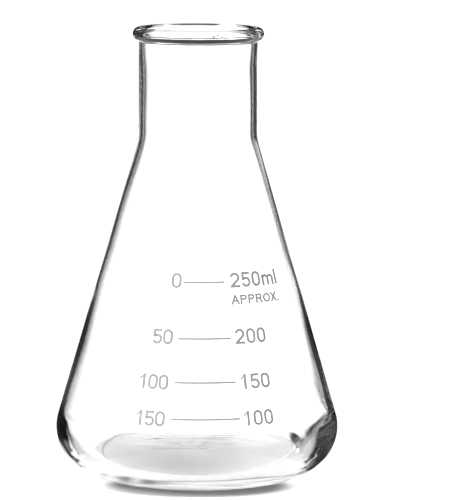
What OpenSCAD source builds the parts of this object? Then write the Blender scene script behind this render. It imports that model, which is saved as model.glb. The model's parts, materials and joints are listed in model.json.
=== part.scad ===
// Conical (Erlenmeyer) flask, 250 ml, narrow neck with a beaded rim.
// The glass is one blown body. Each mark of the double scale is a thin layer
// of fired enamel with its own solid, lying on the outside of the cone.
// +Z is up and is the axis of symmetry. The origin is in the plane that the
// flask stands on. The scale faces -Y.

/* [Flask] */
// Widest outside diameter, at the heel
base_d = 87.5; // [86:0.5:92]
// Height over the rim
flask_h = 138; // [134:0.5:146]
// Outside diameter of the neck
neck_d = 36.6; // [33:0.2:38]
// Height where the lines of cone and neck would meet
shoulder_z = 103.9; // [100:0.1:108]
// Radius of the bend between cone and neck
shoulder_r = 14.5; // [8:0.5:30]

/* [Glass] */
// Thickness of the wall in the neck
neck_wall = 1.1; // [1:0.1:2]
// Thickness of the wall at the widest point
heel_wall = 2.2; // [1.6:0.1:3]
// Height of the flat floor over the plane that the flask stands on
floor_t = 2.8; // [2:0.1:3.4]
// Outside radius of the heel
heel_r = 14.5; // [12:0.5:15]
// Inside radius of the heel
inner_heel_r = 14; // [10:0.5:14]
// Inner edge of the ring that the flask stands on, as a radius
foot_r = 27.5; // [24:0.5:28]
// Rise of the underside at its centre
punt_h = 1; // [0.5:0.1:1.2]

/* [Rim] */
// Outside diameter of the beaded rim
rim_d = 40.4; // [39.8:0.2:42]
// Height of the bead
bead_h = 4.2; // [3.8:0.1:4.6]

/* [Scale] */
// Height of the 250 ml line
line_250_z = 63.3; // [61:0.1:66]
// Height of the 200 ml line
line_200_z = 46.9; // [44:0.1:50]
// Height of the 150 ml line
line_150_z = 34.2; // [32:0.1:37]
// Height of the 100 ml line
line_100_z = 23.6; // [22.5:0.1:26]
// Height of the APPROX. mark, at its middle
approx_z = 58; // [57:0.1:59]
// Turn of the scale's middle from the front, in degrees
scale_turn = 3.6; // [0:0.1:8]
// Thickness of a line
line_w = 0.5; // [0.3:0.02:0.6]
// Height of the numerals
numeral_h = 4.6; // [4:0.1:5]
// Rise of the upper two rows' numerals over the middle of their lines
upper_rise = 0.45; // [0:0.05:0.8]
// Height of the capitals of the APPROX. mark
capital_h = 2.85; // [2.4:0.05:3.2]
// Thickness of the enamel
enamel_t = 0.16; // [0.12:0.02:0.3]

/* [Hidden] */
$fn = 96;

glass_colour = [0.86, 0.9, 0.9, 0.35];
enamel_colour = [0.42, 0.43, 0.44];

base_r = base_d / 2;
neck_r = neck_d / 2;
rim_r = rim_d / 2;
inner_base_r = base_r - heel_wall;
inner_neck_r = neck_r - neck_wall;
inner_shoulder_r = shoulder_r + neck_wall;

// Half the angle of the cone whose line touches the heel arc and would cross
// the neck line at height z_meet
function cone_angle(r_base, r_neck, r_heel, z_floor, z_meet) =
    let (dx = r_base - r_heel - r_neck, dz = z_meet - z_floor - r_heel)
    atan(dx / dz) + asin(r_heel / norm([dx, dz]));

cone_a = cone_angle(base_r, neck_r, heel_r, 0, shoulder_z);

// Radius of the outside of the cone at height z
function cone_r(z) = neck_r + (shoulder_z - z) * tan(cone_a);

// Half outline of a flask, filled to the axis: floor, heel arc, cone, bend
// and neck
module outline(r_base, r_neck, r_heel, r_bend, z_floor, z_top) {
    a = cone_angle(r_base, r_neck, r_heel, z_floor, shoulder_z);
    out = [cos(a), sin(a)];
    heel = [r_base - r_heel, z_floor + r_heel];
    bend_x = r_neck + r_bend;
    bend_z = heel.y + (r_heel + r_bend - (bend_x - heel.x) * out.x) / out.y;
    bend = [bend_x, bend_z];
    difference() {
        union() {
            polygon([
                [0, z_floor], [heel.x, z_floor], heel + r_heel * out,
                bend - r_bend * out, [r_neck, bend_z], [r_neck, z_top], [0, z_top]
            ]);
            translate(heel)
                circle(r_heel);
        }
        translate(bend)
            circle(r_bend, $fn = 240);
    }
}

// Hollow of the underside: a segment of a large sphere
module punt() {
    big_r = (foot_r * foot_r + punt_h * punt_h) / (2 * punt_h);
    intersection() {
        translate([0, punt_h - big_r])
            circle(big_r, $fn = 720);
        square([foot_r, punt_h]);
    }
}

// The bead: a round rod outside, cut off by the bore, with a rounded lip
module bead_outline() {
    rod_r = bead_h / 2;
    rod_x = rim_r - rod_r;
    lip_r = rod_x - inner_neck_r;
    difference() {
        translate([rod_x, flask_h - rod_r])
            circle(rod_r);
        square([rod_x, flask_h]);
    }
    translate([rod_x, flask_h - lip_r])
        circle(lip_r);
    translate([inner_neck_r, flask_h - bead_h])
        square([lip_r, bead_h - lip_r]);
}

module flask_body() {
    color(glass_colour)
        rotate_extrude($fn = 180) {
            difference() {
                outline(base_r, neck_r, heel_r, shoulder_r, 0, flask_h - bead_h / 2);
                outline(inner_base_r, inner_neck_r, inner_heel_r,
                    inner_shoulder_r, floor_t, flask_h);
                punt();
            }
            bead_outline();
        }
}

// The letters follow a plain sans serif face. Their sizes are in em: the
// height of a capital, the height of a small letter and the pen's width,
// which the small APPROX. mark has its own value for.
cap = 0.716;
x_height = 0.519;
$pen = 0.112;
mark_pen = 0.135;
left_width = 0.92;

// Width that a character takes up, in em
function advance(c) =
    c == "m" ? 0.833 :
    c == "l" ? 0.23 :
    c == "A" ? 0.667 :
    c == "P" ? 0.667 :
    c == "R" ? 0.722 :
    c == "O" ? 0.778 :
    c == "X" ? 0.667 :
    c == "." ? 0.278 :
    0.556;

// Width of the first count characters of chars, in em
function width_of(chars, count) =
    count == 0 ? 0 : advance(chars[count - 1]) + width_of(chars, count - 1);

// Straight stroke from p to q
module stroke(p, q) {
    run = q - p;
    translate(p)
        rotate(atan2(run.y, run.x))
            translate([0, -$pen / 2])
                square([norm(run), $pen]);
}

// Part of a ring from angle a0 to a1, with r to the middle of the pen
module ring(r, a0, a1) {
    steps = 8;
    intersection() {
        difference() {
            circle(r + $pen / 2, $fn = 48);
            circle(r - $pen / 2, $fn = 48);
        }
        polygon([
            [0, 0],
            for (i = [0 : steps])
                let (a = a0 + (a1 - a0) * i / steps)
                    3 * r * [cos(a), sin(a)]
        ]);
    }
}

module glyph_0() {
    left = 0.043;
    w = 0.468;
    r = (w - $pen) / 2;
    translate([left + w / 2, cap - w / 2])
        ring(r, 0, 180);
    translate([left + w / 2, w / 2])
        ring(r, 180, 360);
    for (x = [left, left + w - $pen])
        translate([x, w / 2])
            square([$pen, cap - w]);
}

module glyph_1() {
    stem = 0.28;
    translate([stem, 0])
        square([$pen, cap]);
    polygon([
        [0.109, 0.53], [0.22, 0.6], [stem + 0.03, cap], [stem + $pen, cap],
        [stem + 0.01, 0.58], [0.2, 0.5], [0.109, 0.445]
    ]);
}

module glyph_2() {
    w = 0.475;
    r = (w - $pen) / 2;
    end_angle = -38;
    bowl = [0.03 + w / 2, cap - w / 2];
    bowl_end = bowl + r * [cos(end_angle), sin(end_angle)];
    translate(bowl)
        ring(r, end_angle, 172);
    stroke([0.075, $pen / 2], bowl_end + [0.012, 0.012]);
    translate([0.03, 0])
        square([w, $pen]);
}

module glyph_5() {
    w = 0.48;
    r = (w - $pen) / 2;
    translate([0.036 + w / 2, w / 2])
        ring(r, -165, 142);
    stroke([0.115, 0.33], [0.14, cap]);
    translate([0.115, cap - $pen])
        square([0.37, $pen]);
}

module glyph_m() {
    left = 0.066;
    pitch = 0.308;
    r = pitch / 2;
    for (i = [0 : 2])
        translate([left + i * pitch, 0])
            square([$pen, i == 0 ? x_height : x_height - r]);
    for (i = [0 : 1])
        translate([left + $pen / 2 + r + i * pitch, x_height - r - $pen / 2])
            ring(r, 0, 160);
}

module glyph_l() {
    translate([0.066, 0])
        square([$pen, cap]);
}

module glyph_A() {
    for (x = [0.045, 0.622])
        stroke([x, 0], [0.333, cap - 0.01]);
    translate([0.15, 0.21])
        square([0.36, $pen]);
}

// Stem and bowl, as P and R have, with the bowl reaching to x
module stem_and_bowl(x) {
    bowl_r = 0.2;
    left = 0.08;
    translate([left, 0])
        square([$pen, cap]);
    translate([x - bowl_r, cap - bowl_r])
        ring(bowl_r - $pen / 2, -90, 90);
    for (y = [cap - $pen, cap - 2 * bowl_r])
        translate([left, y])
            square([x - bowl_r - left, $pen]);
}

module glyph_P() {
    stem_and_bowl(0.625);
}

module glyph_R() {
    stem_and_bowl(0.65);
    stroke([0.4, 0.36], [0.66, 0]);
}

module glyph_O() {
    r = (0.69 - $pen) / 2;
    translate([0.39, cap / 2])
        difference() {
            circle(r + $pen / 2);
            circle(r - $pen / 2);
        }
}

module glyph_X() {
    stroke([0.06, 0], [0.6, cap]);
    stroke([0.06, cap], [0.6, 0]);
}

module glyph_dot() {
    translate([0.09, 0])
        square($pen * 1.1);
}

module glyph(c) {
    if (c == "0") glyph_0();
    if (c == "1") glyph_1();
    if (c == "2") glyph_2();
    if (c == "5") glyph_5();
    if (c == "m") glyph_m();
    if (c == "l") glyph_l();
    if (c == "A") glyph_A();
    if (c == "P") glyph_P();
    if (c == "R") glyph_R();
    if (c == "O") glyph_O();
    if (c == "X") glyph_X();
    if (c == ".") glyph_dot();
}

// Sets a flat shape on the cone: x runs round it to the right, y up the slope
// and z out of the glass
module on_cone(azimuth, z) {
    rotate([0, 0, azimuth])
        translate([0, -cone_r(z), z])
            rotate([90 - cone_a, 0, 0])
                children();
}

// Cross-section of the enamel on the cone, from height z_low to z_high
module enamel_section(z_low, z_high) {
    t = enamel_t / cos(cone_a);
    polygon([
        [cone_r(z_low), z_low], [cone_r(z_low) + t, z_low],
        [cone_r(z_high) + t, z_high], [cone_r(z_high), z_high]
    ]);
}

// One line of the scale, span degrees long
module scale_line(z, span) {
    half = line_w / 2 * cos(cone_a);
    color(enamel_colour)
        rotate([0, 0, scale_turn - 90 - span / 2])
            rotate_extrude(angle = span, $fn = 180)
                enamel_section(z - half, z + half);
}

// A row of characters with its middle at height z, from azimuth to the right.
// stretch widens or narrows the letters.
module words(chars, azimuth, z, h, stretch = 1) {
    em = h / cap;
    degrees_per_em = em * stretch / cone_r(z) * 180 / PI;
    depth = 2;
    color(enamel_colour)
        intersection() {
            rotate_extrude($fn = 180)
                enamel_section(z - h, z + h);
            for (i = [0 : len(chars) - 1]) {
                half = advance(chars[i]) / 2;
                on_cone(azimuth + (width_of(chars, i) + half) * degrees_per_em, z)
                    translate([0, -h / 2, -depth / 2])
                        linear_extrude(depth)
                            scale(em)
                                translate([-half, 0])
                                    glyph(chars[i]);
            }
        }
}

// Where the right-hand rows start and the left-hand rows end, in degrees from
// the scale's middle
right_start = 15;
left_gap = 2.5;
short_gap = 0.7;

// Numeral to the right of a line, with its middle at height z
module right_numeral(chars, z) {
    words(chars, scale_turn + right_start, z, numeral_h);
}

// Numeral to the left of a line that is span degrees long, with its middle at
// height z
module left_numeral(chars, z, span, gap) {
    em = numeral_h / cap;
    length = width_of(chars, len(chars)) * em * left_width;
    end = scale_turn - span / 2 - gap;
    words(chars, end - length / cone_r(z) * 180 / PI, z, numeral_h, left_width);
}

// The small mark under the uppermost numeral
module approx_mark() {
    words("APPROX.", scale_turn + right_start, approx_z, capital_h, $pen = mark_pen);
}

// Spans of the lines, which get longer towards the base
span_250 = 23.5;
span_200 = 26;
span_150 = 27.5;
span_100 = 28.5;

flask_body();
scale_line(line_250_z, span_250);  // line_250
scale_line(line_200_z, span_200);  // line_200
scale_line(line_150_z, span_150);  // line_150
scale_line(line_100_z, span_100);  // line_100
right_numeral("250ml", line_250_z + upper_rise);  // numeral_250ml
right_numeral("200", line_200_z + upper_rise);  // numeral_200
right_numeral("150", line_150_z);  // numeral_150
right_numeral("100", line_100_z);  // numeral_100
left_numeral("0", line_250_z + upper_rise, span_250, short_gap);  // left_numeral_0
left_numeral("50", line_200_z + upper_rise, span_200, left_gap);  // left_numeral_50
left_numeral("100", line_150_z, span_150, left_gap);  // left_numeral_100
left_numeral("150", line_100_z, span_100, left_gap);  // left_numeral_150
approx_mark();
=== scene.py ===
"""Erlenmeyer flask, 250 ml: the blown glass as one lathe mesh, the enamel scale, a light tent, a camera."""

import json
import math

import bmesh
import bpy
from mathutils import Matrix, Vector, noise


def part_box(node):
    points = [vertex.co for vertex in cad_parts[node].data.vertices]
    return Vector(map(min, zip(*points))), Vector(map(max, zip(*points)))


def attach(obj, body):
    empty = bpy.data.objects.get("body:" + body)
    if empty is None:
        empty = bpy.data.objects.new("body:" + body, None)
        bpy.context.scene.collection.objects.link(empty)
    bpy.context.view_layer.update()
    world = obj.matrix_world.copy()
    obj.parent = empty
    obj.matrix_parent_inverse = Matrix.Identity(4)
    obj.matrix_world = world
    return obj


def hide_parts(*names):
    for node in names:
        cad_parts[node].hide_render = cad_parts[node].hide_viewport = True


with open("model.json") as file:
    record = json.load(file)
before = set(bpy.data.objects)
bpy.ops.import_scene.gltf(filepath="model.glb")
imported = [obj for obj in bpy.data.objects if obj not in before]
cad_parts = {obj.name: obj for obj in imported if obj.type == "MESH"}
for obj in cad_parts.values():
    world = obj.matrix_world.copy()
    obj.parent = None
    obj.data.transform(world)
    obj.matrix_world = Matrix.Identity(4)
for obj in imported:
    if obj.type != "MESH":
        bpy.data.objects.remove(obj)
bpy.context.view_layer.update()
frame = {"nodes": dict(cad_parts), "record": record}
MM = 0.001

# ---------------------------------------------------------------- sizes, all in metres
flask_low, flask_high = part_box("flask_body")
mounts = {m["name"]: m for m in frame["record"]["mounts"]}
BASE_R = (flask_high.x - flask_low.x) / 2
HEIGHT = flask_high.z
BORE_R = mounts["neck_bore"]["dims"]["r_mm"] * MM
NECK_R = mounts["neck_outside"]["dims"]["r_mm"] * MM
SHOULDER_Z = 103.9 * MM      # where the lines of cone and neck would meet
SHOULDER_R = 14.5 * MM       # bend between cone and neck
HEEL_R = 14.5 * MM
INNER_HEEL_R = 14 * MM
FLOOR_T = 2.8 * MM           # over the ring that the flask stands on
FOOT_R = 27.5 * MM           # inner edge of that ring
PUNT_H = 1 * MM              # rise of the underside's middle
RIM_R = 20.2 * MM
BEAD_H = 4.2 * MM
COLLAR_R = 0.6 * MM          # small bend between neck and bead
COLLAR_DROP = 0.4 * MM       # its centre is this far below the bead

# The CAD model's wall changes evenly, from the first to the second.
HEEL_WALL = 2.2 * MM
NECK_WALL = NECK_R - BORE_R

# The blown wall is uneven. Its outside stays true, and its inside lies further in or out.
THICK_WALL = 2.5 * MM        # round the lower cone, on average
THIN_WALL = 1.3 * MM         # from the middle of the cone up
THINNING = (20 * MM, 62 * MM)        # heights where it goes from thick to thin
UNEVEN = 0.25 * MM           # the lower cone's wall is this much thicker at +X, and thinner at -X
HEEL_EXTRA = 0.3 * MM        # the heel's wall is this much thicker still
HEEL_UNEVEN = 0.15 * MM      # and this much more at +X, less at -X
HEEL_FADE = (10 * MM, 24 * MM)
FLOOR_FADE = (FLOOR_T, 1.6 * FLOOR_T)        # the unevenness starts here
NECK_FADE = (124 * MM, 132 * MM)             # and ends here, below the bead

# Waves in the two skins of the glass: height and length.
INNER_WAVE = (0.09 * MM, 17 * MM)
OUTER_WAVE = (0.05 * MM, 24 * MM)

# Flow lines that run round the heel, near the foot.
STREAK_H = 0.05 * MM
STREAK_LENGTH = 9 * MM       # along the line, at radius STREAK_R
STREAK_R = 14 * MM
STREAK_WIDTH = 1.6 * MM
STREAK_FADE = (5 * MM, 9 * MM)

# Bubbles in the bead: angle from the front towards +X, height over the bead's middle, length.
BUBBLES = (
    (13.5, 0.2 * MM, 1.1 * MM),
    (17.5, 0.5 * MM, 0.6 * MM),
    (21, 0.1 * MM, 0.8 * MM),
    (-52, -0.4 * MM, 0.7 * MM),
)
BUBBLE_PLACE_R = 19.1 * MM
BUBBLE_HALF_WIDTH = 0.25 * MM
BUBBLE_HALF_HEIGHT = 0.28 * MM

SEGMENTS = 288               # round the axis
ON_AXIS = 1e-7               # a point nearer to the axis than this lies on it
SAME_POINT = 1e-6            # and two points nearer to each other than this are one


# ---------------------------------------------------------------- the flask's outline
def arc(centre, r, start, end, steps):
    """Points on a circle in the (radius, height) plane, from one angle to another, in degrees."""
    angles = [math.radians(start + (end - start) * i / steps) for i in range(steps + 1)]
    return [Vector((centre[0] + r * math.cos(a), centre[1] + r * math.sin(a))) for a in angles]


def line(p, q, steps):
    return [Vector(p).lerp(Vector(q), i / steps) for i in range(steps + 1)]


def dome(r, h, steps):
    """A shallow segment of a sphere from its middle outwards, h high over the half width r."""
    big_r = (r * r + h * h) / (2 * h)
    run = [r * i / steps for i in range(steps + 1)]
    return [Vector((x, h - big_r + math.sqrt(big_r**2 - x**2))) for x in run]


def joined(*runs):
    """One list of points from several runs, without the points that two runs share."""
    out = []
    for run in runs:
        for p in run:
            if not out or (p - out[-1]).length > SAME_POINT:
                out.append(p)
    return out


def side(r_base, r_neck, r_heel, r_bend, z_floor, z_top):
    """Half outline from the floor's edge up: heel arc, cone, bend and neck."""
    dx, dz = r_base - r_heel - r_neck, SHOULDER_Z - z_floor - r_heel
    half_angle = math.atan(dx / dz) + math.asin(r_heel / math.hypot(dx, dz))
    out = Vector((math.cos(half_angle), math.sin(half_angle)))
    heel = Vector((r_base - r_heel, z_floor + r_heel))
    bend_x = r_neck + r_bend
    bend = Vector((bend_x, heel.y + (r_heel + r_bend - (bend_x - heel.x) * out.x) / out.y))
    tilt = math.degrees(half_angle)
    return joined(
        arc(heel, r_heel, -90, tilt, 52),
        line(heel + r_heel * out, bend - r_bend * out, 36),
        arc(bend, r_bend, 180 + tilt, 180, 10),
        line((r_neck, bend.y), (r_neck, z_top), 16),
    )


def outside_and_inside():
    """Both half outlines: from under the foot up to the mouth, and down inside to the floor's middle."""
    bead = Vector((RIM_R - BEAD_H / 2, HEIGHT - BEAD_H / 2))
    lip_r = bead.x - BORE_R
    inner_base_r = BASE_R - HEEL_WALL
    neck_top = HEIGHT - BEAD_H - COLLAR_R
    collar = (NECK_R + COLLAR_R, HEIGHT - BEAD_H - COLLAR_DROP)
    outside = joined(
        dome(FOOT_R, PUNT_H, 20),
        line((FOOT_R, 0), (BASE_R - HEEL_R, 0), 3),
        side(BASE_R, NECK_R, HEEL_R, SHOULDER_R, 0, neck_top),
        arc(collar, COLLAR_R, 180, 110, 5),
        arc(bead, BEAD_H / 2, -75, 90, 34),
        arc((bead.x, HEIGHT - lip_r), lip_r, 90, 180, 10),
    )
    inside = joined(
        line((0, FLOOR_T), (inner_base_r - INNER_HEEL_R, FLOOR_T), 20),
        side(inner_base_r, BORE_R, INNER_HEEL_R, SHOULDER_R + NECK_WALL, FLOOR_T, HEIGHT - lip_r),
    )
    return outside, inside[::-1]


# ---------------------------------------------------------------- the blown wall
def ease(value, low, high):
    """0 up to low, 1 from high on, and smooth between them."""
    t = min(max((value - low) / (high - low), 0), 1)
    return t * t * (3 - 2 * t)


def swell(z, side_x):
    """How much thicker the blown wall is than the CAD wall at height z. side_x is -1 at -X and 1 at +X."""
    drawn = HEEL_WALL + (NECK_WALL - HEEL_WALL) * min(max((z - HEEL_R) / (SHOULDER_Z - HEEL_R), 0), 1)
    blown = THIN_WALL + (THICK_WALL + UNEVEN * side_x - THIN_WALL) * (1 - ease(z, *THINNING))
    blown += (HEEL_EXTRA + HEEL_UNEVEN * side_x) * (1 - ease(z, *HEEL_FADE))
    return (blown - drawn) * ease(z, *FLOOR_FADE) * (1 - ease(z, *NECK_FADE))


def wave(point, inner):
    """How far a point of the skin lies off the true shape, positive where that makes the glass thicker."""
    height, length = INNER_WAVE if inner else OUTER_WAVE
    offset = height * noise.noise(point / length)
    if inner:
        return offset + swell(point.z, point.x / max(math.hypot(point.x, point.y), MM))
    turn = STREAK_R * math.atan2(point.y, point.x)
    streak = noise.noise(Vector((turn / STREAK_LENGTH, point.z / STREAK_WIDTH, 0)))
    return offset + STREAK_H * streak * (1 - ease(point.z, *STREAK_FADE))


# ---------------------------------------------------------------- the glass mesh
def add_ring(bm, points, i, inner):
    """The vertices that point i of the outline makes: a circle of them, or only one on the axis."""
    p, before, after = points[i], points[max(i - 1, 0)], points[min(i + 1, len(points) - 1)]
    along = (after - before).normalized()
    out = Vector((along.y, -along.x))
    if p.x < ON_AXIS:
        return [bm.verts.new((0, 0, p.y + out.y * wave(Vector((0, 0, p.y)), inner)))]
    ring = []
    for k in range(SEGMENTS):
        angle = 2 * math.pi * k / SEGMENTS
        c, s = math.cos(angle), math.sin(angle)
        offset = wave(Vector((p.x * c, p.x * s, p.y)), inner)
        r, z = p.x + out.x * offset, max(p.y + out.y * offset, 0)
        ring.append(bm.verts.new((r * c, r * s, z)))
    return ring


def lathe(bm, outside, inside):
    """The closed glass body: the outline turned about Z."""
    points = joined(outside, inside)
    rings = [add_ring(bm, points, i, i >= len(outside)) for i in range(len(points))]
    for low, high in zip(rings, rings[1:]):
        for k in range(SEGMENTS):
            j = (k + 1) % SEGMENTS
            if len(low) == 1:
                bm.faces.new((low[0], high[j], high[k]))
            elif len(high) == 1:
                bm.faces.new((low[k], low[j], high[0]))
            else:
                bm.faces.new((low[k], low[j], high[j], high[k]))
    bmesh.ops.recalc_face_normals(bm, faces=bm.faces)


def add_bubble(bm, angle, height, length):
    """A small ellipsoid whose faces look inwards, drawn out along the rim."""
    a = math.radians(angle - 90)
    z = HEIGHT - BEAD_H / 2 + height
    place = Matrix.Translation((BUBBLE_PLACE_R * math.cos(a), BUBBLE_PLACE_R * math.sin(a), z))
    size = Matrix.Diagonal((BUBBLE_HALF_WIDTH, length / 2, BUBBLE_HALF_HEIGHT, 1))
    shape = place @ Matrix.Rotation(a, 4, "Z") @ size
    ball = bmesh.ops.create_icosphere(bm, subdivisions=2, radius=1, matrix=shape)
    bmesh.ops.reverse_faces(bm, faces=list({f for v in ball["verts"] for f in v.link_faces}))


def object_from(bm, name):
    mesh = bpy.data.meshes.new(name)
    bm.to_mesh(mesh)
    bm.free()
    obj = bpy.data.objects.new(name, mesh)
    bpy.context.scene.collection.objects.link(obj)
    return obj


# ---------------------------------------------------------------- nodes
def add_node(tree, kind, inputs, **settings):
    """A new node with its settings and inputs. An input is a value, or the output of another node."""
    node = tree.nodes.new(kind)
    for key, value in settings.items():
        setattr(node, key, value)
    for key, value in inputs.items():
        if isinstance(value, bpy.types.NodeSocket):
            tree.links.new(value, node.inputs[key])
        else:
            node.inputs[key].default_value = value
    return node


def calc(tree, operation, *values):
    return add_node(tree, "ShaderNodeMath", dict(enumerate(values)), operation=operation).outputs[0]


def smooth(tree, value, start, end, at_start, at_end):
    """at_start up to start, at_end from end on, and smooth between them."""
    inputs = {"Value": value, "From Min": start, "From Max": end, "To Min": at_start, "To Max": at_end}
    return add_node(tree, "ShaderNodeMapRange", inputs, interpolation_type="SMOOTHSTEP").outputs["Result"]


def seen_by(tree, camera, others):
    """One value for rays straight from the camera, and another for rays off or through the glass."""
    path = add_node(tree, "ShaderNodeLightPath", {})
    inputs = {0: path.outputs["Is Camera Ray"], 2: others, 3: camera}
    return add_node(tree, "ShaderNodeMix", inputs, data_type="FLOAT").outputs[0]


# ---------------------------------------------------------------- materials
def new_tree(owner):
    owner.use_nodes = True
    owner.node_tree.nodes.clear()
    return owner.node_tree


def add_shader(tree, inputs):
    shader = add_node(tree, "ShaderNodeBsdfPrincipled", inputs)
    add_node(tree, "ShaderNodeOutputMaterial", {"Surface": shader.outputs["BSDF"]})


def cloud(tree, scale, detail):
    """Noise in the object's own space."""
    coord = add_node(tree, "ShaderNodeTexCoord", {})
    inputs = {"Vector": coord.outputs["Object"], "Scale": scale, "Detail": detail}
    return add_node(tree, "ShaderNodeTexNoise", inputs).outputs["Fac"]


def ramp(tree, value, *stops):
    """Colour from two stops, each (value, colour)."""
    node = add_node(tree, "ShaderNodeValToRGB", {"Fac": value})
    for element, (position, colour) in zip(node.color_ramp.elements, stops):
        element.position = position
        element.color = (*colour, 1)
    return node.outputs["Color"]


def glass_material():
    """Clear borosilicate glass, a little uneven in tint, polish and skin."""
    mat = bpy.data.materials.new("flask_glass")
    tree = new_tree(mat)
    melt = cloud(tree, scale=45, detail=3)
    skin = cloud(tree, scale=160, detail=2)
    bump = add_node(tree, "ShaderNodeBump", {"Strength": 0.3, "Distance": 0.02 * MM, "Height": skin})
    polish = add_node(tree, "ShaderNodeMapRange", {"Value": melt, "To Min": 0, "To Max": 0.04})
    add_shader(tree, {
        "Base Color": ramp(tree, melt, (0.3, (0.975, 0.984, 0.982)), (0.7, (0.99, 0.993, 0.992))),
        "Roughness": polish.outputs["Result"],
        "Normal": bump.outputs["Normal"],
        "Transmission Weight": 1,
        "IOR": 1.474,
    })
    return mat


def enamel_material():
    """Grey fired enamel with a fine mottle."""
    mat = bpy.data.materials.new("scale_enamel")
    tree = new_tree(mat)
    mottle = cloud(tree, scale=900, detail=4)
    add_shader(tree, {
        "Base Color": ramp(tree, mottle, (0.35, (0.40, 0.40, 0.40)), (0.7, (0.52, 0.52, 0.52))),
        "Roughness": 0.55,
    })
    return mat


# ---------------------------------------------------------------- the floor
FLOOR_HALF_WIDTH, FLOOR_HALF_LENGTH, FLOOR_Y = 36 * MM, 42 * MM, -11 * MM
FLOOR_DROP = 0.02 * MM       # so that no face lies in the same plane as the foot

# The floor's painted light and shade is soft ellipses of emission: centre, half sizes, start and end of the
# change as parts of the half sizes, light inside and outside.
# Straight from the camera, the contact shadow in front of the foot:
SHADOW = ((0, -24.5 * MM), (34 * MM, 21 * MM), (0.68, 1.02), (0, 1.2))
# Through the glass, painted shade under the foot, grey and darkest at its front, and white outside it:
UNDER_FOOT_SHADE = ((-6 * MM, -26 * MM), (34 * MM, 40 * MM), (0.05, 0.95), (0.38, 0.86))
BEYOND = ((-2 * MM, -2 * MM), (28.5 * MM, 28.5 * MM), (0.9, 1.05), (0, 0.8))
# and a thin painted shadow ring, dark, round the foot, made of an inner and an outer edge:
SHADOW_RING_IN = ((1 * MM, -1 * MM), (31.2 * MM, 31.2 * MM), (1, 1.02), (1, 0.35))
SHADOW_RING_OUT = ((1 * MM, -1 * MM), (31.2 * MM, 31.2 * MM), (1.02, 1.04), (0, 1))
# and painted shadow slivers, dark, along the front left of the foot: centre, half sizes, turn in degrees.
SHADOW_SLIVERS = (
    ((-22.2 * MM, -24.7 * MM), (6.5 * MM, 1.9 * MM), -42),
    ((-15.2 * MM, -28.6 * MM), (4.6 * MM, 1.4 * MM), -29),
    ((-29 * MM, -18.5 * MM), (4.2 * MM, 1.1 * MM), -57),
)
SHADOW_SLIVER_CHANGE, SHADOW_SLIVER_LIGHT = (0.1, 1), (0, 1)


def painted_floor_light(tree, centre, half, change, light, turn=0):
    """Painted light and shade on the floor, as emission, from one level inside an ellipse to another
    outside it.
    """
    coord = add_node(tree, "ShaderNodeTexCoord", {})
    place = add_node(tree, "ShaderNodeMapping", {
        "Vector": coord.outputs["Object"],
        "Location": (*centre, 0),
        "Rotation": (0, 0, math.radians(turn)),
        "Scale": (*half, 1),
    }, vector_type="TEXTURE")
    radius = add_node(tree, "ShaderNodeVectorMath", {0: place.outputs["Vector"]}, operation="LENGTH")
    return smooth(tree, radius.outputs["Value"], *change, *light)


def floor_material():
    """A pale floor whose emission paints light and shade: a painted contact shadow for camera rays, and
    painted shade, a painted shadow ring and painted shadow slivers for rays through the glass.
    """
    mat = bpy.data.materials.new("pale_floor")
    tree = new_tree(mat)
    # painted shade under the foot, grey and darkest at its front, and painted light, white, beyond it
    base = calc(tree, "MAXIMUM", painted_floor_light(tree, *UNDER_FOOT_SHADE), painted_floor_light(tree, *BEYOND))
    # painted shadow: a thin dark ring round the foot
    ring = calc(tree, "MAXIMUM", painted_floor_light(tree, *SHADOW_RING_IN), painted_floor_light(tree, *SHADOW_RING_OUT))
    through = calc(tree, "MULTIPLY", base, ring)
    # painted shadow: dark slivers along the front left of the foot
    for centre, half, turn in SHADOW_SLIVERS:
        shadow_sliver = painted_floor_light(tree, centre, half, SHADOW_SLIVER_CHANGE, SHADOW_SLIVER_LIGHT, turn)
        through = calc(tree, "MULTIPLY", through, shadow_sliver)
    add_shader(tree, {
        "Base Color": (0.5, 0.5, 0.5, 1),
        "Emission Color": (1, 1, 1, 1),
        "Emission Strength": seen_by(tree, camera=painted_floor_light(tree, *SHADOW), others=through),
        "Roughness": 0.9,
        "Specular IOR Level": 0,
    })
    return mat


def make_floor():
    bm = bmesh.new()
    bmesh.ops.create_circle(bm, cap_ends=True, radius=1, segments=96)
    bmesh.ops.scale(bm, vec=(FLOOR_HALF_WIDTH, FLOOR_HALF_LENGTH, 1), verts=bm.verts)
    bmesh.ops.translate(bm, vec=(0, FLOOR_Y, 0), verts=bm.verts)
    floor = object_from(bm, "floor")
    floor.location.z = -FLOOR_DROP
    floor.data.materials.append(floor_material())


# ---------------------------------------------------------------- light
# The tent round the flask, as directions in degrees. Azimuth 0 is behind the flask, + is to the right,
# and elevation is + upwards. A fade is half the width of a soft edge.
# A card's azimuth: (half width, fade, light). The second makes the first one's right edge sharp.
CARDS = {
    0: (11.5, 4.5, 1.8),
    5: (8, 2, 1.8),
    -180: (11.5, 4.5, 0.95),
    -90: (11.5, 4.5, 0.95),
    90: (11.5, 4.5, 0.95),
    135: (11.5, 4.5, 0.95),
    180: (11.5, 4.5, 0.95),
}
CARD_TOP = 1                 # the cards end at this elevation
LOW_FROM = -16               # the cards below are only under this elevation
LOW_CARDS = {-15: (7, 4.5, 1.8), -47: (14, 4.5, 0.95)}
CARD_FADE = 3                # of the cards' upper edges, and of the table's edge
GAP_LIGHT = 0.04             # between the cards
LOW_GAP_LIGHT = 0.16         # between them under LOW_FROM
TABLE_FROM = -31             # below this elevation all is pale, as a table
TABLE_LIGHT = 0.88
ROOF_FROM = 38               # above this elevation the roof of the tent glows
ROOF_SIDES = 25              # and it reaches down to here at the left and the right
ROOF_FADE = 7
ROOF_LIGHT = 1.3

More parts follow.
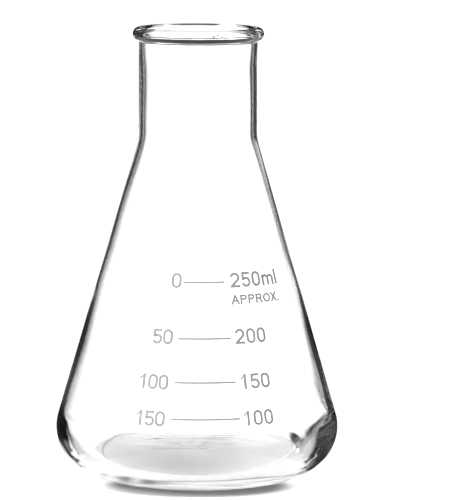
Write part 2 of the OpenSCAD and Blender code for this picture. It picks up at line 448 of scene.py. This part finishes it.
# Softboxes: (azimuth, half width, fade), (elevation, half height, fade), light.
SIDE_BOX = ((60, 40, 8), (11, 11, 3), 0.24)
RIM_BOX = ((27, 5, 3), (6, 4, 2), 0.9)
KEY_BOX = ((-110, 25, 10), (40, 12, 6), 9)       # in front, to the left

# A black flag on the right, below the level of the flask's heel: (azimuth, half width, fade), its
# upper edge with that edge's fade, and how much of the light it takes.
FLAG_AZIMUTH, FLAG_TOP, FLAG_TAKES = (65, 53, 5), (-20, 2), 0.95

BACKDROP_LIGHT = 1.1         # what the camera sees behind the flask, a plain white


def fade(tree, value, centre, half, at_low, at_high):
    """From at_low to at_high, smoothly, as value passes centre."""
    return smooth(tree, value, centre - half, centre + half, at_low, at_high)


def near(tree, value, centre, half, soft, light):
    """light within half of centre, and nothing further off."""
    return fade(tree, calc(tree, "ABSOLUTE", calc(tree, "SUBTRACT", value, centre)), half, soft, light, 0)


def tent_light(tree, x, y, z):
    """White cards with dark gaps between them, a glowing roof, softboxes, a flag and a pale table."""
    angle = calc(tree, "ARCTAN2", x, y)
    azimuth = calc(tree, "MULTIPLY", angle, 180 / math.pi)
    elevation = calc(tree, "MULTIPLY", calc(tree, "ARCSINE", z), 180 / math.pi)

    def box(across, up, light):
        return calc(tree, "MULTIPLY", near(tree, azimuth, *across, light), near(tree, elevation, *up, 1))

    low = fade(tree, elevation, LOW_FROM, CARD_FADE, 1, 0)
    tent = calc(tree, "MULTIPLY_ADD", low, LOW_GAP_LIGHT - GAP_LIGHT, GAP_LIGHT)
    for centre, card in CARDS.items():
        tent = calc(tree, "MAXIMUM", tent, near(tree, azimuth, centre, *card))
    tent = fade(tree, elevation, CARD_TOP, CARD_FADE, tent, GAP_LIGHT)
    for centre, card in LOW_CARDS.items():
        tent = calc(tree, "MAXIMUM", tent, calc(tree, "MULTIPLY", low, near(tree, azimuth, centre, *card)))

    sideways = calc(tree, "POWER", calc(tree, "SINE", angle), 2)
    roof_from = calc(tree, "MULTIPLY_ADD", sideways, ROOF_SIDES - ROOF_FROM, ROOF_FROM)
    over_edge = calc(tree, "SUBTRACT", elevation, roof_from)
    tent = fade(tree, over_edge, 0, ROOF_FADE, tent, ROOF_LIGHT)

    tent = calc(tree, "MAXIMUM", tent, box(*SIDE_BOX))
    tent = calc(tree, "MAXIMUM", tent, box(*RIM_BOX))
    tent = calc(tree, "ADD", tent, box(*KEY_BOX))
    under_flag_top = fade(tree, elevation, *FLAG_TOP, 1, 0)
    flag = calc(tree, "MULTIPLY", near(tree, azimuth, *FLAG_AZIMUTH, FLAG_TAKES), under_flag_top)
    tent = calc(tree, "MULTIPLY", tent, calc(tree, "SUBTRACT", 1, flag))
    return fade(tree, elevation, TABLE_FROM, CARD_FADE, TABLE_LIGHT, tent)


def light_tent():
    """The world: the tent for rays through the glass, and plain white for rays straight from the camera."""
    world = bpy.data.worlds.new("light_tent")
    bpy.context.scene.world = world
    tree = new_tree(world)
    coord = add_node(tree, "ShaderNodeTexCoord", {})
    axes = add_node(tree, "ShaderNodeSeparateXYZ", {"Vector": coord.outputs["Generated"]})
    strength = seen_by(tree, camera=BACKDROP_LIGHT, others=tent_light(tree, *axes.outputs))
    background = add_node(tree, "ShaderNodeBackground", {"Color": (1, 1, 1, 1), "Strength": strength})
    add_node(tree, "ShaderNodeOutputWorld", {"Surface": background.outputs[0]})


# ---------------------------------------------------------------- camera
# Its place and angles are fitted to the outline in the photograph.
CAMERA_DISTANCE = 1.013
CAMERA_HEIGHT = 0.2012
CAMERA_PITCH = 7.423         # downwards, in degrees
CAMERA_PAN = 0.529           # to the right
CAMERA_ROLL = 0.273
SENSOR = 36
FOCAL_PER_SENSOR = 6.622


def make_camera():
    data = bpy.data.cameras.new("camera")
    data.sensor_width = SENSOR
    data.lens = SENSOR * FOCAL_PER_SENSOR
    data.clip_start = 0.05
    data.clip_end = 20
    camera = bpy.data.objects.new("camera", data)
    bpy.context.scene.collection.objects.link(camera)
    camera.location = (0, -CAMERA_DISTANCE, CAMERA_HEIGHT)
    pan, pitch = math.radians(CAMERA_PAN), math.radians(CAMERA_PITCH)
    look = Vector((math.sin(pan) * math.cos(pitch), math.cos(pan) * math.cos(pitch), -math.sin(pitch)))
    camera.rotation_euler = look.to_track_quat("-Z", "Y").to_euler()
    camera.rotation_euler.rotate_axis("Z", math.radians(CAMERA_ROLL))
    bpy.context.scene.camera = camera


# ---------------------------------------------------------------- the scene
glass_bm = bmesh.new()
lathe(glass_bm, *outside_and_inside())
for bubble in BUBBLES:
    add_bubble(glass_bm, *bubble)
glass = object_from(glass_bm, "flask_glass")
glass.data.polygons.foreach_set("use_smooth", [True] * len(glass.data.polygons))
glass.data.materials.append(glass_material())
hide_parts("flask_body")
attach(glass, "root")

enamel = enamel_material()
for name, node in frame["nodes"].items():
    if name != "flask_body":
        for slot in node.material_slots:
            slot.link = "OBJECT"
            slot.material = enamel

make_floor()
light_tent()
make_camera()

scene = bpy.context.scene
scene.view_settings.view_transform = "Standard"
scene.cycles.max_bounces = 32                 # glass behind glass needs many
scene.cycles.transmission_bounces = 32
scene.cycles.glossy_bounces = 14              # more would only add bright slivers along the edges
scene.cycles.caustics_refractive = True
scene.cycles.caustics_reflective = False
